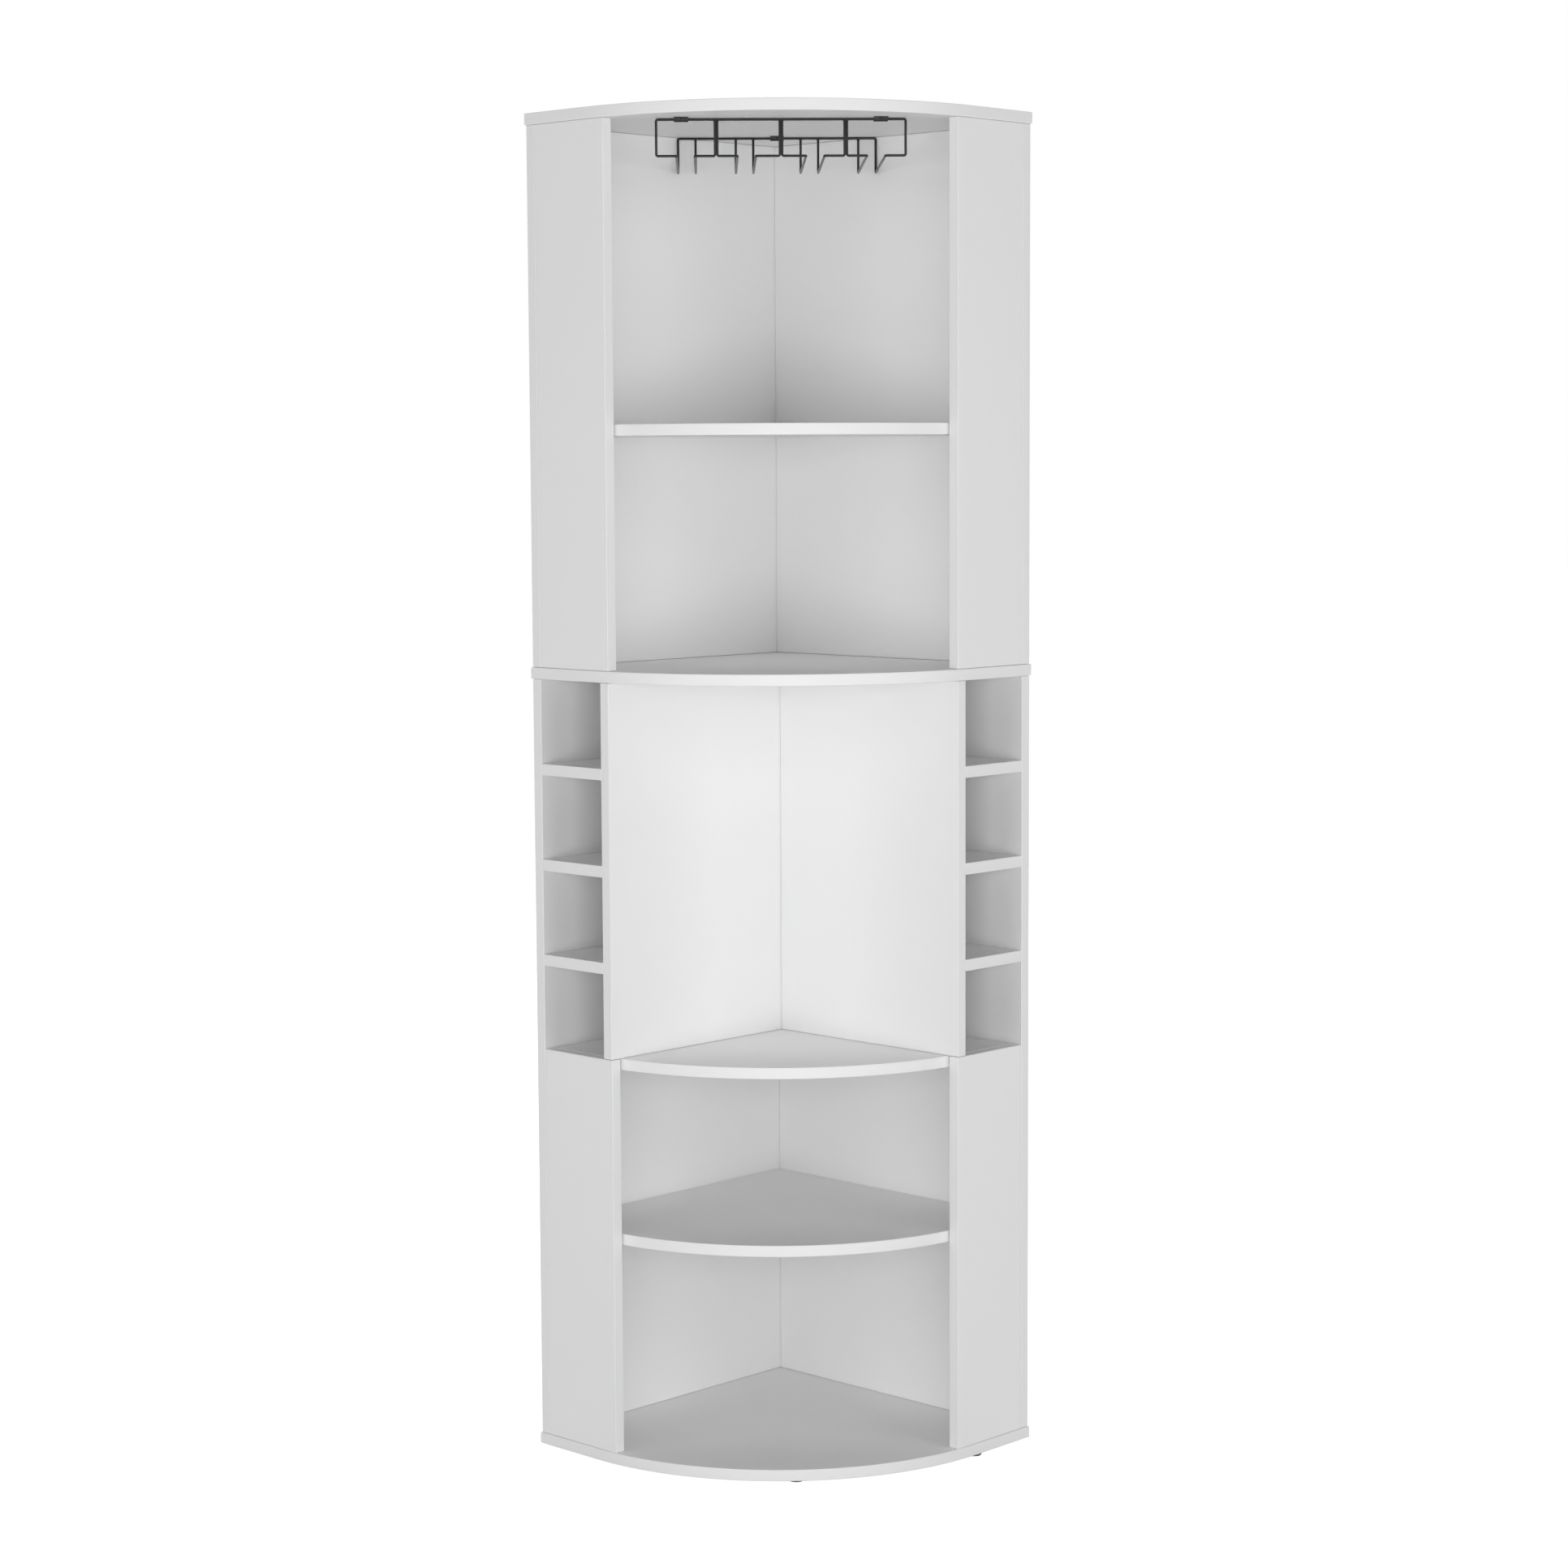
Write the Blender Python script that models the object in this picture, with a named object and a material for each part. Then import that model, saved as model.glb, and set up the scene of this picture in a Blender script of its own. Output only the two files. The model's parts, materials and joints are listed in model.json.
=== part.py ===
"""Corner bar cabinet of white melamine board, with bottle cubbies and a wire rack for stemware.

The cabinet stands in a room corner at (-X, +Y) and looks out along the diagonal, towards (+X, -Y).
Lengths are in metres and +Z is up. The origin is on the floor, under the middle of the square
that the boards fill. A place on the plan is given by its distances from the two room walls:
along is the distance from the wall at -X, and out is the distance from the wall at +Y.
"""

import math

import bmesh
import bpy
from mathutils import Matrix, Vector

# Boards and panels
FOOTPRINT = 0.460        # side of the square that the top, middle and base boards fill
FRONT_RADIUS = 0.350     # rounded front corner of those boards
BOARD = 0.015            # thickness of every board and panel
SIDE_SETBACK = 0.001     # from the boards' straight ends in to the side panels' outer faces
WALL_SETBACK = 0.003     # from the room walls to the wall panels' backs
SIDE_DEPTH = 0.145       # from a room wall to the side panels' front edges
LOWER_HEIGHT = 1.000     # lower wall panels
UPPER_HEIGHT = 0.692     # upper wall panels
LOWER_BAY = 0.272        # clear height between the base board and the lower shelf
GLASS_BAY = 0.2966       # clear height between the middle board and the upper shelf
CUBBY_HEIGHT = 0.1097    # clear height of one bottle cubby
CUBBY_ROWS = 4
EDGE_ROUND = 0.0010      # softened arris of the edge band
GAP = 0.0003             # clearance left where two pieces touch
ARC_STEPS = 40           # flats on the rounded front

# Stemware rack, of round wire
WIRE = 0.0032
RACK_SETBACK = 0.096     # from the top board's foremost point back to the rack's front bar
RACK_SHIFT = 0.001       # the rack hangs this far to the right of the middle
RACK_CLEARANCE = 0.0017  # between the rack's back corners and the wall panels
RACK_DROP = 0.045        # top bars to rails
SLOT = 0.0232            # between the two rails of a slot
OUTER_FLANGE = 0.0252    # wire from an upright in to a rail
INNER_FLANGE = 0.0300    # the same, beside the middle upright
PAIR = 0.0029            # between two uprights that are welded side by side
BEND = 0.0024            # bends of the wire
BEND_STEPS = 2
WIRE_RESOLUTION = 2      # gives a tube of eight sides

# Clips that hold the rack, each with one screw
CLIP_WIDTH = 0.018
CLIP_REACH = 0.018       # from the wire's middle to the flange's end
CLIP_SHEET = 0.0012
CLIP_SPREAD = 0.125      # from the rack's middle out to each front clip
CLIP_ARC_STEPS = 6
CLIP_SCREW_SHANK = 0.003
CLIP_SCREW_HEAD = 0.0056
CLIP_SCREW_HEAD_RISE = 0.0016
CLIP_SCREW_LENGTH = 0.012

# Panel screws and dowels
SCREW_HEAD = 0.0095
SCREW_HEAD_RISE = 0.0030
SCREW_SHANK = 0.0055
SCREW_LENGTH = 0.045
SOCKET_WIDTH = 0.0040
SOCKET_DEPTH = 0.0024
DOWEL = 0.008
LONG_DOWEL = 0.045       # runs through the middle board into both wall panels
SHORT_DOWEL = 0.024
DOWEL_CHAMFER = 0.001
DOWEL_INSET = 0.009      # how deep a short dowel sits in a board
ROUND_SIDES = 10

# Feet, each a disc with a nail
FOOT = 0.020
FOOT_HEIGHT = 0.005
FOOT_NAIL = 0.0025
FOOT_NAIL_LENGTH = 0.010
FOOT_CHAMFER = 0.0008
FOOT_INSET = 0.014       # from the side panel's outer face in to the middle of the right end foot
FRONT_FOOT_SETBACK = 0.021
FRONT_FOOT_SHIFT = 0.010
RIGHT_FOOT_OUT = 0.097
LEFT_FOOT_ALONG = 0.040
LEFT_FOOT_INSET = 0.034  # the left end foot sits further in, out of sight
CORNER_FOOT_INSET = 0.030
FOOT_SIDES = 16

# Places along a panel, as shares of its length
WALL_FIXING_SHARES = (0.22, 0.78)
SHELF_FIXING_SHARE = 0.5
UPPER_SIDE_SHARE = 0.5
LOWER_SIDE_SHARE = 0.5
PARTITION_DOWEL_SHARE = 0.5

# Worked out from the sizes above
HALF = FOOTPRINT / 2
ARC_CENTRE = FOOTPRINT - FRONT_RADIUS
WALL_FACE = WALL_SETBACK + BOARD               # inner faces of the wall panels
OUTER_FACE = FOOTPRINT - SIDE_SETBACK          # outer faces of the side panels
SIDE_INNER = OUTER_FACE - BOARD
SHELF_RADIUS = SIDE_INNER - ARC_CENTRE
PARTITION_BACK = SIDE_DEPTH - BOARD
BASE_Z = FOOT_HEIGHT
FLOOR_Z = BASE_Z + BOARD                       # top of the base board
LOWER_SHELF_Z = FLOOR_Z + LOWER_BAY
MIDDLE_Z = FLOOR_Z + LOWER_HEIGHT
CUBBY_PITCH = CUBBY_HEIGHT + BOARD
CUBBY_FLOOR_Z = MIDDLE_Z - CUBBY_ROWS * CUBBY_PITCH
COUNTER_Z = MIDDLE_Z + BOARD                   # top of the middle board
UPPER_SHELF_Z = COUNTER_Z + GLASS_BAY
TOP_Z = COUNTER_Z + UPPER_HEIGHT
DIAGONAL_REACH = ARC_CENTRE * math.sqrt(2) + FRONT_RADIUS

DOWN = Vector((0, 0, -1))
UP = Vector((0, 0, 1))
ALONG = Vector((1, 0, 0))
OUT = Vector((0, -1, 0))


def clear_scene():
    for item in list(bpy.data.objects):
        bpy.data.objects.remove(item, do_unlink=True)


def material(name, colour, roughness, metallic=0.0):
    made = bpy.data.materials.new(name)
    made.use_nodes = True
    shader = made.node_tree.nodes["Principled BSDF"]
    shader.inputs["Base Color"].default_value = (*colour, 1)
    shader.inputs["Roughness"].default_value = roughness
    shader.inputs["Metallic"].default_value = metallic
    return made


def place(along, out, height):
    """World point at these distances from the two room walls."""
    return Vector((along - HALF, HALF - out, height))


def diagonal_place(distance, shift, height):
    """World point at a distance from the room corner along the diagonal, shifted to the right."""
    along = (distance + shift) / math.sqrt(2)
    out = (distance - shift) / math.sqrt(2)
    return place(along, out, height)


def add_object(name, mesh, finish):
    made = bpy.data.objects.new(name, mesh)
    bpy.context.collection.objects.link(made)
    mesh.materials.clear()
    mesh.materials.append(finish)
    return made


def mesh_object(name, work, finish):
    bmesh.ops.recalc_face_normals(work, faces=work.faces)
    mesh = bpy.data.meshes.new(name)
    work.to_mesh(mesh)
    work.free()
    return add_object(name, mesh, finish)


def prism(name, points, offset, finish):
    """Extrudes a flat outline of world points by an offset."""
    work = bmesh.new()
    face = work.faces.new([work.verts.new(point) for point in points])
    sweep = bmesh.ops.extrude_face_region(work, geom=[face])
    moved = [item for item in sweep["geom"] if isinstance(item, bmesh.types.BMVert)]
    bmesh.ops.translate(work, verts=moved, vec=offset)
    return mesh_object(name, work, finish)


def soften(panel):
    """Rounds a panel's arrises a little, as its edge band is."""
    bevel = panel.modifiers.new("arris", "BEVEL")
    bevel.width = EDGE_ROUND
    bevel.segments = 1
    bevel.limit_method = "ANGLE"
    return panel


def panel(name, along, out, height, finish):
    """A straight panel between two distances from each room wall and two heights."""
    corners = [place(along[0], out[0], height[0]), place(along[1], out[0], height[0]),
               place(along[1], out[1], height[0]), place(along[0], out[1], height[0])]
    return soften(prism(name, corners, UP * (height[1] - height[0]), finish))


def rounded_board(name, back, end, radius, height, finish):
    """A square board whose corner away from the room corner is rounded about ARC_CENTRE."""
    points = [place(back, back, height), place(end, back, height)]
    for step in range(ARC_STEPS + 1):
        turn = math.pi / 2 * step / ARC_STEPS
        points.append(place(ARC_CENTRE + radius * math.cos(turn),
                            ARC_CENTRE + radius * math.sin(turn), height))
    points.append(place(back, end, height))
    return soften(prism(name, points, UP * BOARD, finish))


def turned(name, profile, origin, direction, finish, sides=ROUND_SIDES):
    """Turns a profile of (radius, distance) points about an axis and closes both ends."""
    work = bmesh.new()
    rings = []
    for radius, distance in profile:
        if radius == 0:
            rings.append([work.verts.new((0, 0, distance))])
            continue
        ring = [work.verts.new((radius * math.cos(2 * math.pi * step / sides),
                                radius * math.sin(2 * math.pi * step / sides), distance))
                for step in range(sides)]
        rings.append(ring)
    for ring, following in zip(rings, rings[1:]):
        for step in range(sides):
            beside = (step + 1) % sides
            corners = [ring[step % len(ring)], ring[beside % len(ring)],
                       following[beside % len(following)], following[step % len(following)]]
            work.faces.new(list(dict.fromkeys(corners)))
    for ring in (rings[0], rings[-1]):
        if len(ring) > 1:
            work.faces.new(ring)
    made = mesh_object(name, work, finish)
    made.rotation_euler = direction.to_track_quat("Z", "Y").to_euler()
    made.location = origin
    return made


def cut(pieces, cutter):
    """Cuts the same hole in each of the pieces."""
    cutter.hide_render = True
    cutter.display_type = "WIRE"
    for piece in pieces:
        boolean = piece.modifiers.new("hole", "BOOLEAN")
        boolean.operation = "DIFFERENCE"
        boolean.object = cutter


def boards_and_shelves(finish):
    rounded = {}
    for name, height in (("base_board", BASE_Z), ("middle_board", MIDDLE_Z), ("top_board", TOP_Z)):
        rounded[name] = rounded_board(name, 0, FOOTPRINT, FRONT_RADIUS, height, finish)
    for name, height in (("lower_shelf", LOWER_SHELF_Z), ("cubby_floor", CUBBY_FLOOR_Z),
                         ("upper_shelf", UPPER_SHELF_Z)):
        rounded[name] = rounded_board(name, WALL_FACE + GAP, SIDE_INNER - GAP,
                                      SHELF_RADIUS - GAP, height, finish)
    return rounded


def upright_pair(name, height, along, out, butt, finish):
    """Two upright panels, one for each room wall.

    The left one takes the spans as given, and the right one has them swapped, but starts at butt,
    where it meets the left one.
    """
    height = (height[0] + GAP, height[1] - GAP)
    left = panel("left_" + name, along, out, height, finish)
    right = panel("right_" + name, (butt, out[1]), along, height, finish)
    return [left, right]


def uprights(finish):
    walls = (WALL_SETBACK, WALL_FACE)
    wall_run = (WALL_SETBACK, OUTER_FACE)
    sides = (WALL_FACE + GAP, SIDE_DEPTH)
    side_run = (SIDE_INNER, OUTER_FACE)
    partitions = (PARTITION_BACK, SIDE_DEPTH)
    partition_run = (PARTITION_BACK, OUTER_FACE)
    lower = (FLOOR_Z, MIDDLE_Z)
    upper = (COUNTER_Z, TOP_Z)
    cubbies = (CUBBY_FLOOR_Z + BOARD, MIDDLE_Z)
    return {
        "lower_wall": upright_pair("lower_wall", lower, walls, wall_run, WALL_FACE + GAP, finish),
        "upper_wall": upright_pair("upper_wall", upper, walls, wall_run, WALL_FACE + GAP, finish),
        "lower_side": upright_pair("lower_side", (FLOOR_Z, CUBBY_FLOOR_Z + BOARD), sides, side_run,
                                   SIDE_INNER, finish),
        "upper_side": upright_pair("upper_side", upper, sides, side_run, SIDE_INNER, finish),
        "partition": upright_pair("partition", cubbies, partitions, partition_run,
                                  SIDE_DEPTH + GAP, finish),
    }


def cubby_dividers(finish):
    """Shelves between the cubbies. The left ones run on into the corner behind the right ones."""
    across = (WALL_FACE + GAP, PARTITION_BACK - GAP)
    for row in range(1, CUBBY_ROWS):
        base = CUBBY_FLOOR_Z + row * CUBBY_PITCH
        height = (base, base + BOARD)
        panel(f"left_cubby_divider_{row}", across, (WALL_FACE + GAP, OUTER_FACE), height, finish)
        panel(f"right_cubby_divider_{row}", (PARTITION_BACK, OUTER_FACE), across, height, finish)


def panel_screw(name, head_at, direction, pieces, finish):
    """A countersunk screw whose head is flush at head_at, and its holes."""
    radius = SCREW_HEAD / 2
    shank = SCREW_SHANK / 2
    slope = SCREW_HEAD_RISE
    tip = SCREW_LENGTH - shank
    turned(name, [(SOCKET_WIDTH / 2, SOCKET_DEPTH), (SOCKET_WIDTH / 2, 0), (radius, 0),
                  (shank, slope), (shank, tip), (0, SCREW_LENGTH)], head_at + direction * GAP,
           direction, finish)
    wide = radius + GAP
    narrow = shank + GAP
    bore = turned(name + "_hole", [(wide, -GAP), (wide, GAP), (narrow, slope + GAP),
                                   (narrow, SCREW_LENGTH + GAP * 2)],
                  head_at, direction, finish)
    cut(pieces, bore)


def dowel(name, start, length, direction, pieces, finish):
    """A chamfered wooden dowel that begins at start, and its holes."""
    radius = DOWEL / 2
    inner = radius - DOWEL_CHAMFER
    turned(name, [(inner, 0), (radius, DOWEL_CHAMFER), (radius, length - DOWEL_CHAMFER),
                  (inner, length)], start, direction, finish)
    wide = radius + GAP
    bore = turned(name + "_hole", [(wide, -GAP), (wide, length + GAP)], start, direction, finish)
    cut(pieces, bore)


def span(start, end, share):
    return start + (end - start) * share


def wall_place(hand, run, depth, height):
    """A point at a distance along a wall panel and at a depth from that room wall."""
    if hand == "left":
        return place(depth, run, height)
    return place(run, depth, height)


def fasteners(rounded, standing, steel, wood):
    """Screws where the head is out of sight, and dowels where it would be seen."""
    middle = WALL_SETBACK + BOARD / 2
    hands = (("left", 0, ALONG), ("right", 1, OUT))
    for hand, side, inward in hands:
        upper_wall = standing["upper_wall"][side]
        lower_wall = standing["lower_wall"][side]
        for number, share in enumerate(WALL_FIXING_SHARES, 1):
            run = span(WALL_FACE, OUTER_FACE, share)
            panel_screw(f"{hand}_top_screw_{number}", wall_place(hand, run, middle, TOP_Z + BOARD),
                        DOWN, [rounded["top_board"], upper_wall], steel)
            panel_screw(f"{hand}_base_screw_{number}", wall_place(hand, run, middle, BASE_Z),
                        UP, [rounded["base_board"], lower_wall], steel)
            start = wall_place(hand, run, middle, MIDDLE_Z + BOARD / 2 - LONG_DOWEL / 2)
            dowel(f"{hand}_middle_dowel_{number}", start, LONG_DOWEL, UP,
                  [rounded["middle_board"], upper_wall, lower_wall], wood)
        run = span(WALL_FACE, SIDE_INNER, SHELF_FIXING_SHARE)
        for shelf, wall in (("upper_shelf", upper_wall), ("cubby_floor", lower_wall),
                            ("lower_shelf", lower_wall)):
            height = {"upper_shelf": UPPER_SHELF_Z, "cubby_floor": CUBBY_FLOOR_Z,
                      "lower_shelf": LOWER_SHELF_Z}[shelf] + BOARD / 2
            panel_screw(f"{hand}_{shelf}_screw", wall_place(hand, run, WALL_SETBACK, height),
                        inward, [wall, rounded[shelf]], steel)
        run = OUTER_FACE - BOARD / 2
        upper_height = span(COUNTER_Z, TOP_Z, UPPER_SIDE_SHARE)
        lower_height = span(FLOOR_Z, CUBBY_FLOOR_Z, LOWER_SIDE_SHARE)
        for name, wall, height in (("upper_side", upper_wall, upper_height),
                                   ("lower_side", lower_wall, lower_height)):
            panel_screw(f"{hand}_{name}_screw", wall_place(hand, run, WALL_SETBACK, height),
                        inward, [wall, standing[name][side]], steel)
        partition = standing["partition"][side]
        run = span(SIDE_DEPTH, OUTER_FACE, PARTITION_DOWEL_SHARE)
        depth = SIDE_DEPTH - BOARD / 2
        start = wall_place(hand, run, depth, MIDDLE_Z + DOWEL_INSET)
        dowel(f"{hand}_partition_top_dowel", start, SHORT_DOWEL, DOWN,
              [rounded["middle_board"], partition], wood)
        start = wall_place(hand, run, depth, CUBBY_FLOOR_Z + BOARD - DOWEL_INSET)
        dowel(f"{hand}_partition_foot_dowel", start, SHORT_DOWEL, UP,
              [rounded["cubby_floor"], partition], wood)


def bent(corners, closed):
    """Points along a wire that turns with the bend radius at each corner."""
    points = []
    count = len(corners)
    for index, corner in enumerate(corners):
        if not closed and index in (0, count - 1):
            points.append(corner)
            continue
        back = (corners[index - 1] - corner).normalized()
        ahead = (corners[(index + 1) % count] - corner).normalized()
        centre = corner + (back + ahead) * BEND
        for step in range(BEND_STEPS + 1):
            turn = math.pi / 2 * step / BEND_STEPS
            points.append(centre - ahead * BEND * math.cos(turn) - back * BEND * math.sin(turn))
    return points


def wire(name, corners, closed, finish):
    """A round wire along the corners, as a closed mesh."""
    curve = bpy.data.curves.new(name, "CURVE")
    curve.dimensions = "3D"
    curve.bevel_depth = WIRE / 2
    curve.bevel_resolution = WIRE_RESOLUTION
    curve.use_fill_caps = True
    spline = curve.splines.new("POLY")
    points = bent(corners, closed)
    spline.points.add(len(points) - 1)
    for point, spot in zip(spline.points, points):
        point.co = (*spot, 1)
    spline.use_cyclic_u = closed
    guide = bpy.data.objects.new(name, curve)
    bpy.context.collection.objects.link(guide)
    mesh = bpy.data.meshes.new_from_object(guide.evaluated_get(bpy.context.evaluated_depsgraph_get()))
    bpy.data.objects.remove(guide)
    work = bmesh.new()
    work.from_mesh(mesh)
    bmesh.ops.remove_doubles(work, verts=work.verts, dist=GAP / 100)
    return mesh_object(name, work, finish)


def stemware_rack(finish, clip_finish, top_board):
    """The welded rack under the top board. Across is to the right, and back is to the corner."""
    wire_z = TOP_Z - GAP - WIRE / 2
    front_distance = DIAGONAL_REACH - RACK_SETBACK
    front = diagonal_place(front_distance, RACK_SHIFT, wire_z)
    turn = Matrix.Translation(front) @ Matrix.Rotation(math.pi / 4, 4, "Z")

    def spot(across, back, height):
        return Vector((across, back, height))

    inner_cell = INNER_FLANGE + SLOT + OUTER_FLANGE
    inner_edge = PAIR / 2 + inner_cell
    outer_edge = inner_edge + PAIR + OUTER_FLANGE * 2 + SLOT
    outer_rail = outer_edge - OUTER_FLANGE
    corner = (WALL_FACE + RACK_CLEARANCE) * math.sqrt(2)
    rack_depth = front_distance - corner - outer_rail - WIRE / 2 - RACK_SHIFT
    loop = []
    for hand in (1, -1):
        half = [spot(hand * outer_edge, 0, 0), spot(hand * outer_edge, 0, -RACK_DROP),
                spot(hand * outer_rail, 0, -RACK_DROP), spot(hand * outer_rail, rack_depth, -RACK_DROP),
                spot(hand * outer_rail, rack_depth, 0)]
        loop += half if hand > 0 else half[::-1]
    rack = wire("stemware_rack", loop, True, finish)
    rack.matrix_world = turn
    weld = -WIRE / 4
    uprights_and_rails = []
    for hand in (1, -1):
        uprights_and_rails += [
            (hand * PAIR / 2, hand * (PAIR / 2 + INNER_FLANGE)),
            (hand * inner_edge, hand * (inner_edge - OUTER_FLANGE)),
            (hand * (inner_edge + PAIR), hand * (inner_edge + PAIR + OUTER_FLANGE))]
    for number, (upright, rail) in enumerate(uprights_and_rails, 1):
        half = wire(f"rack_wire_{number}", [
            spot(upright, 0, weld), spot(upright, 0, -RACK_DROP), spot(rail, 0, -RACK_DROP),
            spot(rail, rack_depth, -RACK_DROP), spot(rail, rack_depth, weld)], False, finish)
        half.matrix_world = turn
        half.hide_render = True
        half.display_type = "WIRE"
        union = rack.modifiers.new("weld", "BOOLEAN")
        union.operation = "UNION"
        union.object = half
    for number, (across, back) in enumerate(((-CLIP_SPREAD, 0), (CLIP_SPREAD, 0), (0, rack_depth)), 1):
        rack_clip(number, turn @ Matrix.Translation(spot(across, back, 0)), clip_finish, top_board)


def rack_clip(number, seat, finish, top_board):
    """A bent strip that holds the wire up, with its flange to the front, and its screw."""
    inner = WIRE / 2 + GAP
    outer = inner + CLIP_SHEET
    top = WIRE / 2
    profile = [(CLIP_REACH, top), (inner, top)]
    for radius, steps in ((inner, range(CLIP_ARC_STEPS + 1)), (outer, range(CLIP_ARC_STEPS, -1, -1))):
        for step in steps:
            turn = math.pi * step / CLIP_ARC_STEPS
            profile.append((radius * math.cos(turn), -radius * math.sin(turn)))
    profile += [(outer, top - CLIP_SHEET), (CLIP_REACH, top - CLIP_SHEET)]
    points = [Vector((-CLIP_WIDTH / 2, -forward, height)) for forward, height in profile]
    clip = prism(f"rack_clip_{number}", points, Vector((CLIP_WIDTH, 0, 0)), finish)
    clip.matrix_world = seat
    shank = CLIP_SCREW_SHANK / 2
    head = CLIP_SCREW_HEAD / 2
    rise = CLIP_SCREW_HEAD_RISE
    forward = (outer + CLIP_REACH) / 2
    under = seat @ Vector((0, -forward, top - CLIP_SHEET - GAP))
    turned(f"rack_clip_screw_{number}", [(head / 2, -rise), (head, -rise / 2), (head, 0), (shank, 0),
                                         (shank, CLIP_SCREW_LENGTH - shank), (0, CLIP_SCREW_LENGTH)],
           under, UP, finish)
    wide = shank + GAP
    bore = turned(f"rack_clip_hole_{number}", [(wide, -GAP), (wide, CLIP_SCREW_LENGTH + GAP * 2)],
                  under, UP, finish)
    cut([clip, top_board], bore)


def feet(finish, base_board):
    spots = {
        "front_foot": diagonal_place(DIAGONAL_REACH - FRONT_FOOT_SETBACK, FRONT_FOOT_SHIFT, 0),
        "right_foot": place(OUTER_FACE - FOOT_INSET, RIGHT_FOOT_OUT, 0),
        "left_foot": place(LEFT_FOOT_ALONG, OUTER_FACE - LEFT_FOOT_INSET, 0),
        "corner_foot": place(CORNER_FOOT_INSET, CORNER_FOOT_INSET, 0),
    }
    radius = FOOT / 2
    nail = FOOT_NAIL / 2
    top = FOOT_HEIGHT - GAP
    tip = top + FOOT_NAIL_LENGTH
    for name, spot in spots.items():
        turned(name, [(radius - FOOT_CHAMFER, 0), (radius, FOOT_CHAMFER), (radius, top), (nail, top),
                      (nail, tip - nail), (0, tip)], spot, UP, finish, FOOT_SIDES)
        bore = turned(name + "_hole", [(nail + GAP, top), (nail + GAP, tip + GAP)], spot, UP, finish)
        cut([base_board], bore)


def build():
    clear_scene()
    melamine = material("white_melamine", (0.84, 0.84, 0.85), 0.42)
    black_wire = material("black_wire", (0.02, 0.02, 0.02), 0.38, 0.6)
    black_sheet = material("black_sheet", (0.02, 0.02, 0.02), 0.45, 0.6)
    zinc = material("zinc_steel", (0.62, 0.62, 0.60), 0.35, 1.0)
    beech = material("beech", (0.62, 0.44, 0.28), 0.60)
    foot_plastic = material("foot_plastic", (0.05, 0.05, 0.05), 0.55)
    rounded = boards_and_shelves(melamine)
    standing = uprights(melamine)
    cubby_dividers(melamine)
    fasteners(rounded, standing, zinc, beech)
    stemware_rack(black_wire, black_sheet, rounded["top_board"])
    feet(foot_plastic, rounded["base_board"])


build()
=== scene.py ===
# %% [markdown]
# # A corner bar cabinet in white melamine
#
# This lesson dresses a finished construction model. The construction gives every panel, screw and
# wire its size and place, and here each one gets the edges and the finish that the real one has.
# Each cell makes one thing, and the words before it say what that thing is on the real cabinet.
#
# The cabinet stands in a room corner. Its left wall panel runs along the room wall at -X, its right
# wall panel along the room wall at +Y, and its rounded front looks out between +X and -Y.

# %% Load the frame
import json
import math

import bmesh
import bpy
from mathutils import Matrix, Vector

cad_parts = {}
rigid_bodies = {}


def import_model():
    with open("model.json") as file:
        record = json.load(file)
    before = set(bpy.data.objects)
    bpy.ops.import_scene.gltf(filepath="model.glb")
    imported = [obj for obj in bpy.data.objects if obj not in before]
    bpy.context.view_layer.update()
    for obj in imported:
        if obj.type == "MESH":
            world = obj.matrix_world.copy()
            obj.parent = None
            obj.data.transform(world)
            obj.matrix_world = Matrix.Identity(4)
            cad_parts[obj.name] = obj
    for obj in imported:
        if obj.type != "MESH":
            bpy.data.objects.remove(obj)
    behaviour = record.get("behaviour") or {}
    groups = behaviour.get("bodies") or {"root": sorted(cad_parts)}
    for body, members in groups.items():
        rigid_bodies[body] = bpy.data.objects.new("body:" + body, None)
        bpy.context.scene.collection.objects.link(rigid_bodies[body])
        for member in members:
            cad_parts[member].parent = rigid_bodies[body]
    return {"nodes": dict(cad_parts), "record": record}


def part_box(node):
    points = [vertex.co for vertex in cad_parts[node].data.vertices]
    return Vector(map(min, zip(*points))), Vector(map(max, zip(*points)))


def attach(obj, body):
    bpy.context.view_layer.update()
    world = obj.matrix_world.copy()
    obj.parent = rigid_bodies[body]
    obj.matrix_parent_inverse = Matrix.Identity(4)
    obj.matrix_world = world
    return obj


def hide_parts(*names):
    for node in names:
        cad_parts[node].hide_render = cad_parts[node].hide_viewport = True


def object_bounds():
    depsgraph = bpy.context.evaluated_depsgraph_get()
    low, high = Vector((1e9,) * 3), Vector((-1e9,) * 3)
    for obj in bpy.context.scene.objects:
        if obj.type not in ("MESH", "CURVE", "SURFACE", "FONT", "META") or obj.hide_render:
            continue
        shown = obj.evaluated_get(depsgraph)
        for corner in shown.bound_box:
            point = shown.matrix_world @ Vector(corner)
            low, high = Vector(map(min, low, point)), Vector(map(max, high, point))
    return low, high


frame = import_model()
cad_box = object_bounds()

print("pieces in the frame:", len(frame["nodes"]))

# %% [markdown]
# ## Sizes
#
# A panel's box comes straight from the frame, so only what a box can't tell is written here: the
# radius of the rounded front and the fine sizes of a board's edges. Sizes are in metres.

# %% Name the sizes
FRONT_RADIUS = 0.350
FRONT_STEPS = 96
ARRIS = 0.0008           # rounding of a straight panel's edges
BOARD_ARRIS = 0.0013     # the same on the boards and shelves, whose strip is thicker
ARRIS_STEPS = 4
BAND = 0.0010            # from the rounding in to where the broad face begins
GAP = 0.0003             # room round a fastener in its hole
FOOTPRINT = cad_box[1].x - cad_box[0].x
HALF = FOOTPRINT / 2
print("footprint:", round(FOOTPRINT, 4), "height:", round(cad_box[1].z, 4))

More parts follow.
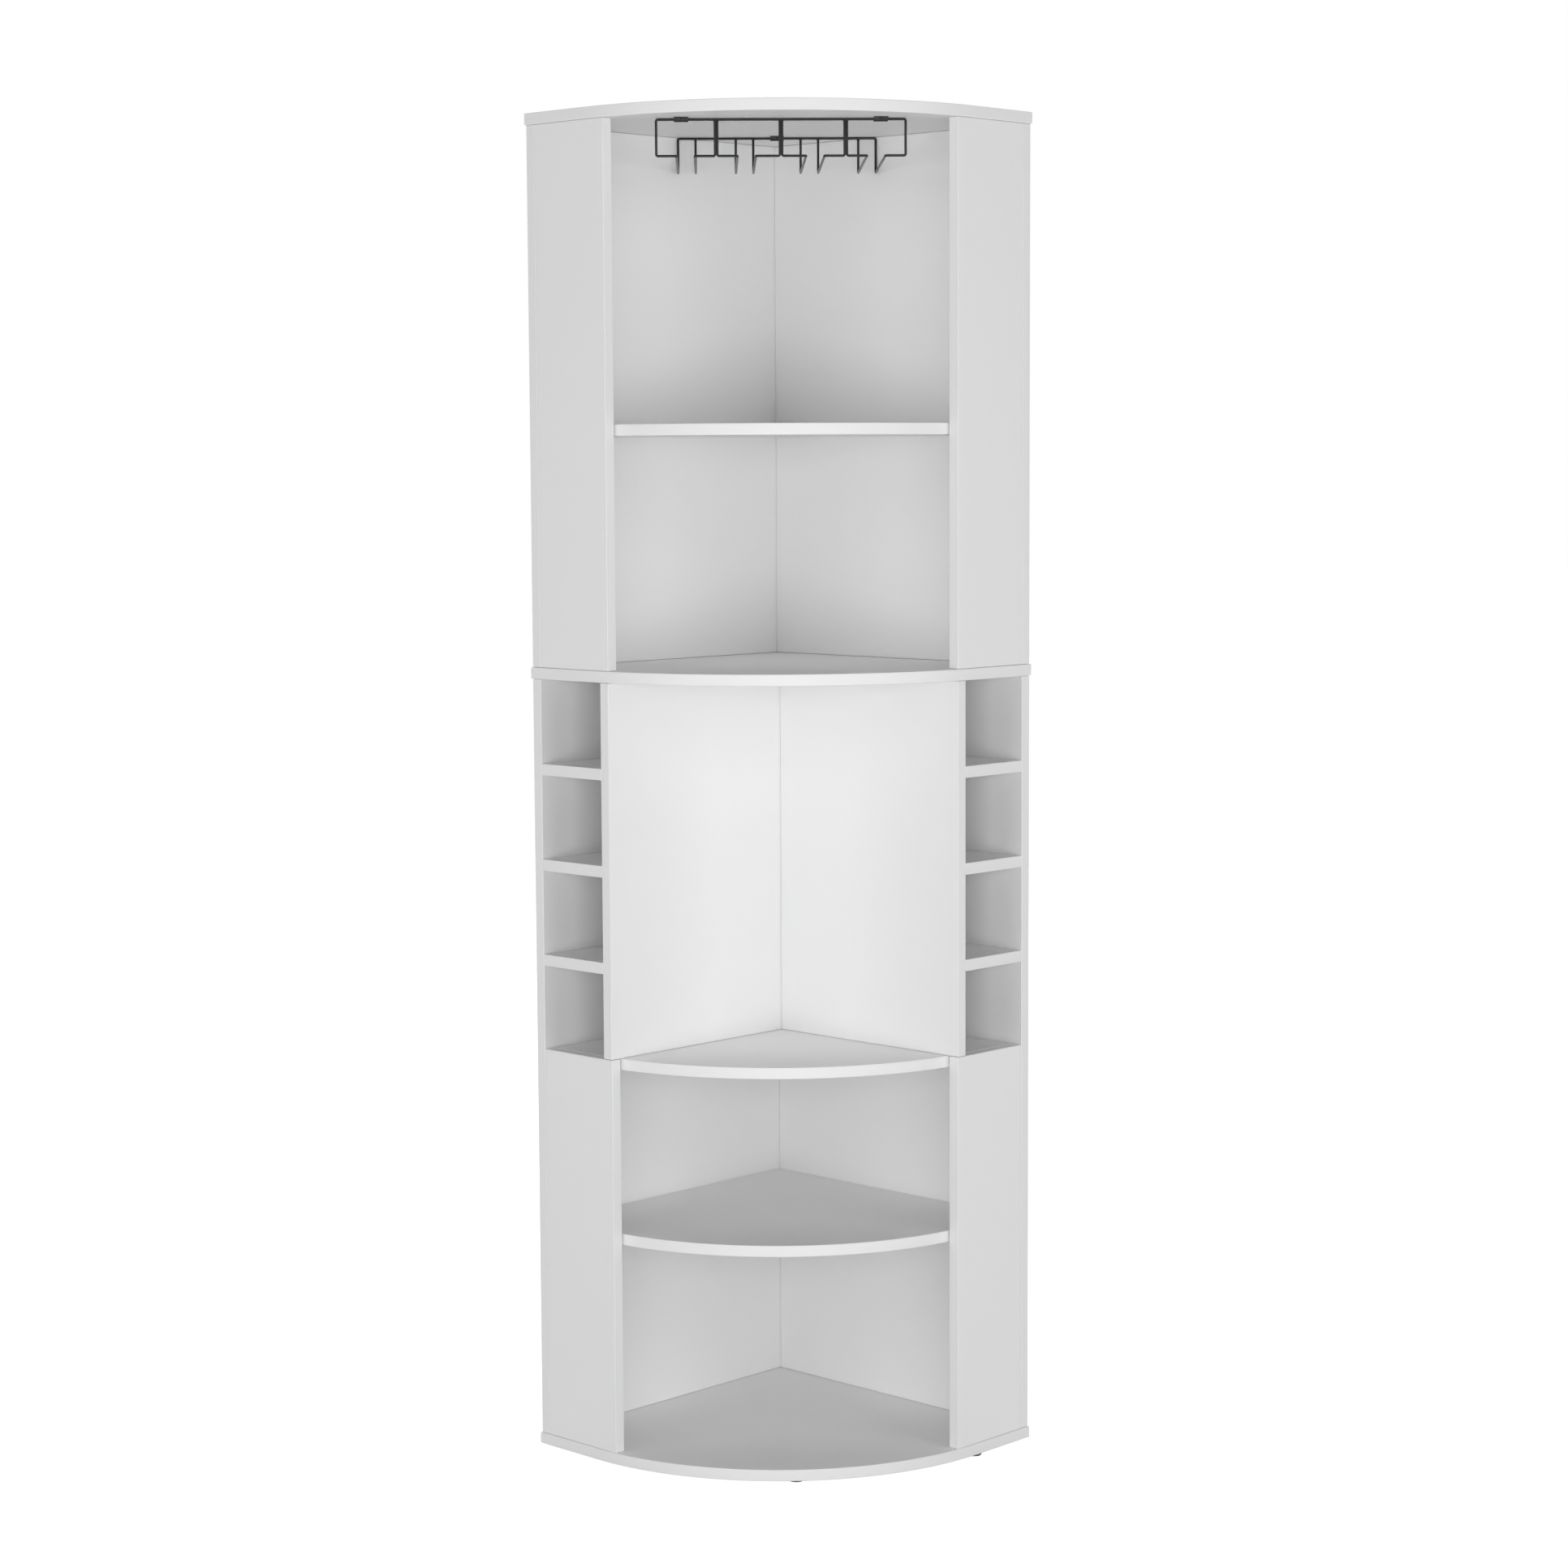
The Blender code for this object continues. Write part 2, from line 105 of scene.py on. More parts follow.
# %% [markdown]
# ## Small helpers
#
# Operators act on whatever is selected, so each step starts from a clean selection. A finished
# piece has its place in its mesh: its object sits at the origin, unturned and unscaled, and that is
# what settle does before the piece is told which body it rides on.

# %% Select, settle and hand over a piece
SMOOTH_ANGLE = 40
TINY = 0.000001
WELD = 0.00001           # vertices nearer than this become one


def deselect():
    for item in bpy.context.scene.objects:
        item.select_set(False)
    bpy.context.view_layer.objects.active = None


def pick(item):
    deselect()
    item.select_set(True)
    bpy.context.view_layer.objects.active = item
    return item


def settle(item):
    """Moves the object's place, turn and scale into its mesh."""
    pick(item)
    bpy.ops.object.transform_apply(location=True, rotation=True, scale=True)
    return item


def apply_modifiers(item):
    pick(item)
    for modifier in list(item.modifiers):
        bpy.ops.object.modifier_apply(modifier=modifier.name)
    return item


def edit(item):
    """Opens a piece in edit mode with nothing selected."""
    pick(item)
    bpy.ops.object.mode_set(mode="EDIT")
    bpy.ops.mesh.select_mode(type="VERT")
    bpy.ops.mesh.select_all(action="DESELECT")


def close(item):
    bpy.ops.object.mode_set(mode="OBJECT")
    return item


def choose(item, kind, chosen):
    """Selects, in edit mode, the verts, edges or faces that a test chooses."""
    bpy.ops.mesh.select_mode(type=kind.upper())
    bpy.ops.mesh.select_all(action="DESELECT")
    work = bmesh.from_edit_mesh(item.data)
    for element in getattr(work, {"vert": "verts", "edge": "edges", "face": "faces"}[kind]):
        if chosen(element):
            element.select_set(True)
    bmesh.update_edit_mesh(item.data)


def weld():
    """Merges the vertices that share a place, and leaves the whole piece selected."""
    bpy.ops.mesh.select_all(action="SELECT")
    bpy.ops.mesh.remove_doubles(threshold=WELD)


def middle(edge):
    return (edge.verts[0].co + edge.verts[1].co) / 2


def smooth(item):
    pick(item)
    bpy.ops.object.shade_smooth_by_angle(angle=math.radians(SMOOTH_ANGLE))
    return item


def stands_for(item, node):
    """The piece rides on the cabinet and is shown in place of a construction node."""
    item.name = node + "_piece"
    item.data.name = item.name
    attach(item, "root")
    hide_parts(node)
    return item


deselect()
print("objects left selected:", len(bpy.context.selected_objects))

# %% [markdown]
# ## Shader maths as plain arithmetic
#
# A pattern in a material is a sum of noises. Written as nodes it is hard to read, so one small
# class wraps a node's output and lets Python's own + - * build the Math nodes. Every other node
# comes from one method, which sets the node's settings first and then its sockets.

# %% Wrap a socket
class Signal:
    """What a node gives out, such as a number that varies over a surface."""

    def __init__(self, nodes, socket):
        self.nodes = nodes
        self.socket = socket

    def maths(self, operation, *operands):
        return self.nodes.node("ShaderNodeMath", {"operation": operation},
                               dict(enumerate(operands)))

    def __add__(self, other):
        return self.maths("ADD", self, other)

    __radd__ = __add__

    def __sub__(self, other):
        return self.maths("SUBTRACT", self, other)

    def __rsub__(self, other):
        return self.maths("SUBTRACT", other, self)

    def __mul__(self, other):
        return self.maths("MULTIPLY", self, other)

    __rmul__ = __mul__

    def clamped(self, low, high):
        return self.maths("MINIMUM", self.maths("MAXIMUM", self, low), high)


class Nodes:
    """A node tree that grows one node at a time."""

    def __init__(self, tree):
        self.tree = tree

    def put(self, socket, value):
        """Gives a socket a value, or links it to what another node gives out."""
        if isinstance(value, Signal):
            self.tree.links.new(value.socket, socket)
        else:
            socket.default_value = value

    def node(self, kind, settings=None, sockets=None, output=0):
        made = self.tree.nodes.new(kind)
        for name, value in (settings or {}).items():
            setattr(made, name, value)
        for name, value in (sockets or {}).items():
            self.put(made.inputs[name], value)
        return Signal(self, made.outputs[output])


class Finish(Nodes):
    """One material, with its Principled shader and the nodes that feed it."""

    def __init__(self, name):
        self.material = bpy.data.materials.new(name)
        self.material.use_nodes = True
        super().__init__(self.material.node_tree)
        self.shader = self.tree.nodes["Principled BSDF"]

    def place(self, stretch=(1, 1, 1)):
        """Object coordinates in metres, stretched along each axis."""
        spot = self.node("ShaderNodeTexCoord", output="Object")
        return self.node("ShaderNodeMapping", {}, {"Vector": spot, "Scale": stretch})

    def noise(self, spot, size, detail=2.0, roughness=0.5):
        """A noise whose blobs are about this many metres wide, from 0 to 1."""
        return self.node("ShaderNodeTexNoise", {}, {"Vector": spot, "Scale": 1 / size,
                                                    "Detail": detail, "Roughness": roughness})

    def blend(self, share, low, high):
        """A colour between two others. A Mix node's colour sockets go by number."""
        return self.node("ShaderNodeMix", {"data_type": "RGBA"},
                         {"Factor": share, 6: (*low, 1), 7: (*high, 1)}, output=2)

    def shade(self, **values):
        for name, value in values.items():
            socket = self.shader.inputs[name.replace("_", " ").title().replace("Ior", "IOR")]
            if name == "base_color" and not isinstance(value, Signal):
                value = (*value, 1)
            self.put(socket, value)

    def bump(self, height, depth):
        """Lifts the surface by up to a depth in metres."""
        made = self.node("ShaderNodeBump", {}, {"Height": height, "Distance": depth,
                                                "Strength": 1.0})
        self.put(self.shader.inputs["Normal"], made)


print("wrappers for shader nodes:", Signal.__name__, Nodes.__name__, Finish.__name__)

# %% [markdown]
# ## White melamine
#
# The board is chipboard faced with white resin-soaked paper. The press plate leaves a fine pearl
# grain, a fraction of a millimetre wide, which breaks up reflections and gives the satin look. The
# colour is a neutral white with the faintest clouding, and hands and cloths leave patches that are
# a touch smoother or duller.
#
# One flat white would look like paper, and an image would blur close up. So each of these is a
# noise at its real size: the clouds turn the colour, the patches the roughness, and the grain is a
# bump a hundredth of a millimetre deep.

# %% Make the laminate
WHITE = (0.875, 0.876, 0.879)
WHITE_CLOUD = (0.858, 0.859, 0.863)
CLOUD_SIZE = 0.16
CLOUD_SHARE = 0.8        # the rest is flecks
CLEAR_SHARE = 0.35       # noise up to this level stays white
SATIN = 0.46
SMUDGE_SIZE = 0.055
SMUDGE_ROUGHNESS = 0.12
PEARL_GRAIN = 0.0007
PEARL_DEPTH = 0.000012


def laminate():
    made = Finish("white_laminate")
    spot = made.place()
    cloud = made.noise(spot, CLOUD_SIZE, 3.0)
    fleck = made.noise(spot, PEARL_GRAIN * 2, 1.0)
    flecks = fleck * (1 - CLOUD_SHARE)
    share = (cloud * CLOUD_SHARE + flecks - CLEAR_SHARE).clamped(0.0, 1.0)
    smudge = made.noise(spot, SMUDGE_SIZE, 4.0, 0.6)
    made.shade(base_color=made.blend(share, WHITE, WHITE_CLOUD), ior=1.5,
               roughness=SATIN + smudge * SMUDGE_ROUGHNESS)
    pearl = made.noise(spot, PEARL_GRAIN, 2.0, 0.6)
    made.bump(pearl, PEARL_DEPTH)
    return made.material


LAMINATE = laminate()
print("board face:", LAMINATE.name)

# %% Make the edge strip and the core
BAND_WHITE = (0.862, 0.863, 0.866)
BAND_STREAK = (0.846, 0.847, 0.851)
STREAK_SIZE = 0.012
STREAK_SQUEEZE = 24      # up the cabinet, so that streaks run along a board's front
STREAK_SHARE = 0.8
STREAK_ROUGHNESS = 0.08
CHIP_PALE = (0.50, 0.36, 0.22)
CHIP_DARK = (0.28, 0.18, 0.10)
CHIP_SIZE = 0.0022
CHIP_DEPTH = 0.0002


def edge_band():
    made = Finish("white_edge_band")
    spot = made.place((1, 1, STREAK_SQUEEZE))
    streak = made.noise(spot, STREAK_SIZE, 3.0)
    made.shade(base_color=made.blend(streak * STREAK_SHARE, BAND_WHITE, BAND_STREAK),
               roughness=SATIN + streak * STREAK_ROUGHNESS, ior=1.49)
    made.bump(streak, PEARL_DEPTH)
    return made.material


def chipboard():
    """The board's core, which shows only inside a screw hole."""
    made = Finish("chipboard_core")
    chip = made.noise(made.place(), CHIP_SIZE, 3.0, 0.7)
    made.shade(base_color=made.blend(chip, CHIP_PALE, CHIP_DARK), roughness=0.78 + chip * 0.14)
    made.bump(chip, CHIP_DEPTH)
    return made.material


EDGE_BAND = edge_band()
CHIPBOARD = chipboard()
print("board edge and core:", EDGE_BAND.name, CHIPBOARD.name)

# %% [markdown]
# ## Straight panels
#
# Each upright panel is a sawn rectangle with a strip of white plastic glued round its edges. The
# strip is trimmed and scraped, which leaves a small rounded arris and a hairline where the strip
# meets the face.
#
# The strip could be a thin piece of its own, but then two skins would lie on each other. So one
# cube at the panel's size is bevelled all round, and its two broad faces are inset by the strip's
# thickness, which gives the rim its own faces for the strip's finish.

# %% Make a straight panel
CORNER_ANGLE = 60        # an edge sharper than this gets an arris
FACE, RIM, CORE = 0, 1, 2            # places in a board's list of finishes


def give_board_finishes(item, place_for):
    """Gives a mesh the board's three finishes, and each of its faces one of them."""
    item.data.materials.clear()
    for finish in (LAMINATE, EDGE_BAND, CHIPBOARD):
        item.data.materials.append(finish)
    for face in item.data.polygons:
        face.material_index = place_for(face)
    return item


def board_block(node):
    """A cube at the size and place of a board."""
    low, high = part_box(node)
    deselect()
    bpy.ops.mesh.primitive_cube_add(size=1, location=(low + high) / 2)
    item = bpy.context.active_object
    item.dimensions = high - low
    return settle(item)


def finish_board(item, arris=ARRIS):
    """Rounds the arrises and insets the two broad faces, whose rim keeps the strip's finish."""
    edit(item)
    choose(item, "edge", lambda edge: edge.calc_face_angle(0) > math.radians(CORNER_ANGLE))
    bpy.ops.mesh.bevel(offset=arris, segments=ARRIS_STEPS, affect="EDGES")
    broad = sorted(face.calc_area() for face in bmesh.from_edit_mesh(item.data).faces)[-2]
    choose(item, "face", lambda face: face.calc_area() > broad - TINY)
    bpy.ops.mesh.inset(thickness=BAND, use_individual=True)
    close(item)
    return give_board_finishes(item, lambda face: FACE if face.select else RIM)


PANELS = {}
for hand in ("left", "right"):
    names = ["upper_wall", "lower_wall", "upper_side", "lower_side", "partition"]
    names += [f"cubby_divider_{row}" for row in (1, 2, 3)]
    for name in names:
        PANELS[f"{hand}_{name}"] = finish_board(board_block(f"{hand}_{name}"))
print("straight panels:", len(PANELS))

# %% [markdown]
# ## Rounded boards and shelves
#
# The top, middle and base boards are squares whose front corner is cut to a big quarter circle, and
# the three shelves follow the same curve further in. A cylinder and blocks could be joined, but the
# joints would leave stray edges on the broad faces. So a block makes the square, and its one
# upright edge at the front is bevelled by the full radius in many steps, which gives a true quarter
# circle. Then the rim gets the same small arris and strip as the straight panels.

# %% Make a rounded board
def rounded_board(node):
    low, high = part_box(node)
    item = board_block(node)
    radius = FRONT_RADIUS - (cad_box[1].x - high.x)
    edit(item)
    choose(item, "edge", lambda edge: (middle(edge).xy - Vector((high.x, low.y))).length < GAP)
    bpy.ops.mesh.bevel(offset=radius, segments=FRONT_STEPS, affect="EDGES", clamp_overlap=False)
    close(item)
    return finish_board(item, BOARD_ARRIS)


for name in ("top_board", "middle_board", "base_board",
             "upper_shelf", "cubby_floor", "lower_shelf"):
    PANELS[name] = rounded_board(name)
print("boards and shelves:", len(PANELS))

# %% [markdown]
# ## The other finishes
#
# The rack is bent from steel wire. It, its clips and their screws are coated in satin black, which
# leaves a faint orange peel. The panel screws are zinc plated, the dowels are beech, and the feet
# are a dull dark plastic.
#
# Each could be one colour, since the pieces are small, but close up that looks like putty. So each
# gets the same recipe as the board: a noise at the size of the real grain mixes two near colours,
# shifts the roughness and lifts the surface.

# %% Make the black coat and the zinc
BLACK = (0.004, 0.004, 0.0042)
BLACK_WORN = (0.009, 0.009, 0.0095)
BLACK_SHEEN = 0.3        # a matt coat mirrors less than bare plastic does
WORN_SIZE = 0.02
PEEL_SIZE = 0.0012
PEEL_DEPTH = 0.00004
ZINC_DULL = (0.60, 0.60, 0.57)
ZINC_BRIGHT = (0.70, 0.69, 0.66)
SPANGLE_SIZE = 0.0016
ZINC_GRAIN = 0.0005
ZINC_DEPTH = 0.00001


def black_coat():
    made = Finish("black_coat")
    spot = made.place()
    peel = made.noise(spot, PEEL_SIZE, 2.0)
    worn = made.noise(spot, WORN_SIZE, 3.0)
    made.shade(base_color=made.blend(worn, BLACK, BLACK_WORN), roughness=0.26 + worn * 0.14,
               specular_ior_level=BLACK_SHEEN)
    made.bump(peel, PEEL_DEPTH)
    return made.material


def zinc():
    made = Finish("zinc_plate")
    spot = made.place()
    spangle = made.noise(spot, SPANGLE_SIZE, 3.0)
    made.shade(base_color=made.blend(spangle, ZINC_DULL, ZINC_BRIGHT), metallic=1.0,
               roughness=0.26 + spangle * 0.18)
    made.bump(made.noise(spot, ZINC_GRAIN, 2.0), ZINC_DEPTH)
    return made.material


BLACK_COAT = black_coat()
ZINC = zinc()
print("metal finishes:", BLACK_COAT.name, ZINC.name)

# %% Make the beech and the plastic
BEECH_PALE = (0.66, 0.47, 0.30)
BEECH_DARK = (0.50, 0.32, 0.19)
BEECH_GRAIN = 0.0012
BEECH_DEPTH = 0.00006
GRAIN_STRETCH = 0.12     # up the cabinet, along a dowel
PLASTIC_DARK = (0.035, 0.035, 0.036)
PLASTIC_PALE = (0.055, 0.055, 0.057)
SPECK_SIZE = 0.0008
SPECK_DEPTH = 0.00003


def beech():
    made = Finish("beech_dowel")
    spot = made.place((1, 1, GRAIN_STRETCH))
    grain = made.noise(spot, BEECH_GRAIN, 4.0, 0.6)
    made.shade(base_color=made.blend(grain, BEECH_PALE, BEECH_DARK), roughness=0.52 + grain * 0.16)
    made.bump(grain, BEECH_DEPTH)
    return made.material


def glide_plastic():
    made = Finish("glide_plastic")
    speck = made.noise(made.place(), SPECK_SIZE, 3.0)
    made.shade(base_color=made.blend(speck, PLASTIC_DARK, PLASTIC_PALE),
               roughness=0.50 + speck * 0.12)
    made.bump(speck, SPECK_DEPTH)
    return made.material


BEECH = beech()
GLIDE_PLASTIC = glide_plastic()
print("wood and plastic:", BEECH.name, GLIDE_PLASTIC.name)

# %% [markdown]
# ## Turned pieces
#
# Screws, dowels and feet are round. Each could be a stack of cylinders and cones, but an outline
# spun about its own axis gives chamfers and a countersink in one go. The outline starts as one
# vertex, which is extruded from point to point, as you would draw it by hand. It runs from the axis
# out along the end face, down the side and back in to the axis, so the spun skin is closed once
# the doubles at the two poles are merged.

# %% Draw an outline and spin it
ROUND_STEPS = 32
SOFT_STEPS = 2           # across the softened edge of a small piece


def outline(points):
    """An open edge path, left in edit mode with its last vertex selected."""
    deselect()
    bpy.ops.mesh.primitive_plane_add(size=GAP)
    item = bpy.context.active_object
    bpy.ops.object.mode_set(mode="EDIT")
    bpy.ops.mesh.select_mode(type="VERT")
    bpy.ops.mesh.select_all(action="SELECT")
    bpy.ops.mesh.merge(type="CENTER")
    bpy.ops.transform.translate(value=points[0])
    for start, end in zip(points, points[1:]):
        bpy.ops.mesh.extrude_region_move(TRANSFORM_OT_translate={"value": end - start})
    return item


def seat_at(place, direction):
    """The seat of a turned piece, whose own +Z runs along the direction."""
    turn = direction.to_track_quat("Z", "X").to_matrix().to_4x4()
    return Matrix.Translation(place) @ turn


def turned(profile, seat, finish, steps=ROUND_STEPS):
    """Spins (radius, depth) points about the axis and moves the piece to its seat."""
    item = outline([Vector((radius, 0, depth)) for radius, depth in profile])
    bpy.ops.mesh.select_all(action="SELECT")
    bpy.ops.mesh.spin(steps=steps, angle=math.tau, center=(0, 0, 0), axis=(0, 0, 1))
    weld()
    bpy.ops.mesh.normals_make_consistent(inside=False)
    close(item)
    item.data.materials.append(finish)
    item.matrix_world = seat
    return settle(item)


def round_edges(item, width):
    """Softens every edge that is sharper than the smoothing angle."""
    soft = item.modifiers.new("soft", "BEVEL")
    soft.width = width
    soft.segments = SOFT_STEPS
    soft.limit_method = "ANGLE"
    soft.angle_limit = math.radians(SMOOTH_ANGLE)
    return apply_modifiers(item)


def carve(item, tool, operation="DIFFERENCE"):
    """Cuts a tool out of a piece, or joins it on and mends the seam, and clears the tool away."""
    work = item.modifiers.new("carve", "BOOLEAN")
    work.operation = operation
    work.solver = "EXACT"
    work.object = tool
    apply_modifiers(item)
    bpy.data.objects.remove(tool)
    if operation == "UNION":
        edit(item)
        weld()
        close(item)
    return item


print("sides of a turned piece:", ROUND_STEPS)

# %% [markdown]
# ## Panel screws
#
# A flat-pack cabinet is drawn together by long zinc-plated screws with a countersunk head and a hex
# socket. Their heads lie flush on the top, on the underside and on the two backs, where the wall or
# the floor hides them. The frame gives each screw's box: its long side is the screw's axis, and the
# head is at the end that the screw was driven from.
#
# The thread bites into the board and never shows, so it isn't cut, and the work goes into the head:
# a spun outline with its rim and countersink, and a six-sided socket cut out by a boolean. A dowel
# is the same kind of outline, with a chamfer at both ends.

# %% Name the sizes of the screws and dowels
SCREW_HEAD = 0.0095
SCREW_HEAD_RIM = 0.0005
SCREW_HEAD_RISE = 0.0030
SCREW_SHANK = 0.0055
SOCKET_ACROSS = 0.0040   # across the flats of the hex
SOCKET_DEPTH = 0.0024
SCREW_SOFT = 0.00015
DOWEL_CHAMFER = 0.001
SINKS = {"top_screw": (0, 0, -1), "base_screw": (0, 0, 1)}


def direction_of(node):
    """Which way a fastener was driven."""
    for kind, direction in SINKS.items():
        if kind in node:
            return Vector(direction)
    if "dowel" in node:
        return Vector((0, 0, 1))
    return Vector((1, 0, 0)) if node.startswith("left") else Vector((0, -1, 0))


def start_of(node):
    """The middle of the end face that a fastener was driven from, and its length."""
    low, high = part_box(node)
    direction = direction_of(node)
    length = abs((high - low).dot(direction))
    return (low + high) / 2 - direction * length / 2, length


print("driven along:", {kind: tuple(direction_of(kind)) for kind in ("top_screw", "base_screw")})


# %% Make the screws and the dowels
def screw_profile(length, spare=0.0):
    """Half a countersunk screw. A spare makes the hole that it sits in."""
    head = SCREW_HEAD / 2 + spare
    shank = SCREW_SHANK / 2 + spare
    return [(0, -spare), (head, -spare), (head, SCREW_HEAD_RIM), (shank, SCREW_HEAD_RISE + spare),
            (shank, length - shank), (0, length + spare)]


def dowel_profile(length, radius, spare=0.0):
    chamfer = DOWEL_CHAMFER
    return [(0, -spare), (radius - chamfer + spare, -spare), (radius + spare, chamfer - spare),
            (radius + spare, length - chamfer + spare), (radius - chamfer + spare, length + spare),
            (0, length + spare)]


def panel_screw(node):
    place, length = start_of(node)
    seat = seat_at(place, direction_of(node))
    item = turned(screw_profile(length), seat, ZINC)
    deselect()
    bpy.ops.mesh.primitive_cylinder_add(vertices=6, radius=SOCKET_ACROSS / math.sqrt(3),
                                        depth=SOCKET_DEPTH * 2)
    socket = bpy.context.active_object
    socket.matrix_world = seat
    round_edges(carve(item, settle(socket)), SCREW_SOFT)
    return smooth(item)


def dowel(node):
    place, length = start_of(node)
    low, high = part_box(node)
    item = turned(dowel_profile(length, (high.x - low.x) / 2), seat_at(place, direction_of(node)),
                  BEECH)
    return smooth(item)


FASTENERS = {}
for part in frame["record"]["subparts"]:
    node = part["node"]
    if "rack" in node:
        continue
    if "dowel" in node:
        FASTENERS[node] = dowel(node)
    elif "screw" in node:
        FASTENERS[node] = panel_screw(node)
print("screws and dowels:", len(FASTENERS))

# %% [markdown]
# ## Holes for the fasteners
#
# A screw could simply run through the panels, but then two solids would fill the same space, and a
# moved panel would show no hole. So each hole is the fastener's own outline, a hair bigger, cut
# out of every panel that the fastener runs through. Inside a hole the white skin gives way to the
# brown chipboard core, so the cutter's faces carry the chipboard, and the cut takes it over.

# %% Drill the panels
def boxes_meet(one, other):
    return all(one[0][axis] < other[1][axis] and other[0][axis] < one[1][axis]
               for axis in range(3))


def drill(node, panels):
    """Cuts the hole for one fastener."""
    place, length = start_of(node)
    seat = seat_at(place, direction_of(node))
    low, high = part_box(node)
    if "dowel" in node:
        profile = dowel_profile(length, (high.x - low.x) / 2, GAP)
    else:
        profile = screw_profile(length, GAP)
    for panel in panels:
        tool = turned(profile, seat, CHIPBOARD)
        carve(PANELS[panel], give_board_finishes(tool, lambda face: CORE))


holes = 0
for node in FASTENERS:
    met = [panel for panel in PANELS if boxes_meet(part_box(node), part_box(panel))]
    drill(node, met)
    holes += len(met)
print("holes drilled:", holes)

# %% [markdown]
# ## Stemware rack
#
# The rack is bent from round steel wire. One closed loop makes the front bar, the outer wires of
# the end slots and the back bar, and six wires like half a hairpin make the other rails. Each wire
# drops from the front bar, turns in, runs back as a rail and rises to the back bar.
#
# Cylinders laid end to end would meet in mitres, while real wire is bent in a small round. So a
# wire's path is drawn with square corners, the corners are rounded by a vertex bevel, and the path
# is given its thickness as a curve. A small bead of weld sits where a wire meets a bar.
#
# The rack is made lying square to the axes, with its front bar on X, and is then turned to face
# the cabinet's diagonal.

# %% Name the rack's sizes
WIRE = 0.0032
WIRE_RING_STEPS = 6      # gives a tube of sixteen sides
BEND = 0.0024
BEND_STEPS = 6
RACK_SETBACK = 0.096     # from the top board's foremost point back to the front bar
RACK_SHIFT = 0.001
RACK_DROP = 0.045
SLOT = 0.0232            # between the two rails of a slot
OUTER_FLANGE = 0.0252    # wire from an upright in to a rail
INNER_FLANGE = 0.0300    # the same, beside the middle upright
PAIR = 0.0029            # between two uprights that are welded side by side
BEAD = 0.0021
BEAD_SQUASH = 0.8
BEAD_DETAIL = 3


def on_diagonal(distance, shift, height):
    """A place in the room: out from the room corner along the diagonal, and to the right of it."""
    along = (distance + shift) / math.sqrt(2)
    out = (distance - shift) / math.sqrt(2)
    return Vector((along - HALF, HALF - out, height))


REACH = (FOOTPRINT - FRONT_RADIUS) * math.sqrt(2) + FRONT_RADIUS
WIRE_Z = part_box("stemware_rack")[1].z - WIRE / 2
FRONT_BAR = on_diagonal(REACH - RACK_SETBACK, RACK_SHIFT, WIRE_Z)
RACK_SEAT = Matrix.Translation(FRONT_BAR) @ Matrix.Rotation(math.pi / 4, 4, "Z")


def back_reach(node):
    """How far a node reaches back from the front bar."""
    square = RACK_SEAT.inverted()
    return max((square @ vertex.co).y for vertex in frame["nodes"][node].data.vertices)


INNER_EDGE = PAIR / 2 + INNER_FLANGE + SLOT + OUTER_FLANGE
OUTER_EDGE = INNER_EDGE + PAIR + OUTER_FLANGE * 2 + SLOT
OUTER_RAIL = OUTER_EDGE - OUTER_FLANGE
RACK_DEPTH = back_reach("stemware_rack") - WIRE / 2
print("rack depth:", round(RACK_DEPTH, 4), "width:", round(OUTER_EDGE * 2, 4))


# %% Bend and weld the rack
def wire(corners, closed=False):
    """A round wire along the corners."""
    item = outline(corners)
    if closed:
        choose(item, "vert", lambda vert: len(vert.link_edges) == 1)
        bpy.ops.mesh.edge_face_add()
    choose(item, "vert", lambda vert: len(vert.link_edges) == 2)
    bpy.ops.mesh.bevel(offset=BEND, segments=BEND_STEPS, affect="VERTICES")
    close(item)
    pick(item)
    bpy.ops.object.convert(target="CURVE")
    item = bpy.context.active_object
    item.data.bevel_depth = WIRE / 2
    item.data.bevel_resolution = WIRE_RING_STEPS
    item.data.use_fill_caps = True
    bpy.ops.object.convert(target="MESH")
    item = bpy.context.active_object
    edit(item)
    weld()
    bpy.ops.mesh.normals_make_consistent(inside=False)
    return close(item)


def bead(place):
    deselect()
    bpy.ops.mesh.primitive_ico_sphere_add(subdivisions=BEAD_DETAIL, radius=BEAD, location=place,
                                          scale=(1, 1, BEAD_SQUASH))
    return settle(bpy.context.active_object)


def bent_rack():
    loop = []
    for hand in (1, -1):
        half = [(OUTER_EDGE, 0, 0), (OUTER_EDGE, 0, -RACK_DROP), (OUTER_RAIL, 0, -RACK_DROP),
                (OUTER_RAIL, RACK_DEPTH, -RACK_DROP), (OUTER_RAIL, RACK_DEPTH, 0)]
        points = [Vector((across * hand, back, height)) for across, back, height in half]
        loop += points if hand > 0 else points[::-1]
    rack = wire(loop, closed=True)
    hairpins = [(PAIR / 2, PAIR / 2 + INNER_FLANGE), (INNER_EDGE, INNER_EDGE - OUTER_FLANGE),
                (INNER_EDGE + PAIR, INNER_EDGE + PAIR + OUTER_FLANGE)]
    buried = -WIRE / 8       # a wire's end, inside the bar that it is welded to
    for hand in (1, -1):
        for upright, rail in hairpins:
            path = [(upright, 0, buried), (upright, 0, -RACK_DROP), (rail, 0, -RACK_DROP),
                    (rail, RACK_DEPTH, -RACK_DROP), (rail, RACK_DEPTH, buried)]
            carve(rack, wire([Vector((across * hand, back, height))
                              for across, back, height in path]), "UNION")
            for across, back in ((upright, 0), (rail, RACK_DEPTH)):
                carve(rack, bead(Vector((across * hand, back, -WIRE / 2))), "UNION")
    rack.data.materials.clear()
    rack.data.materials.append(BLACK_COAT)
    rack.matrix_world = RACK_SEAT
    return smooth(settle(rack))


RACK = bent_rack()
print("rack faces:", len(RACK.data.polygons))

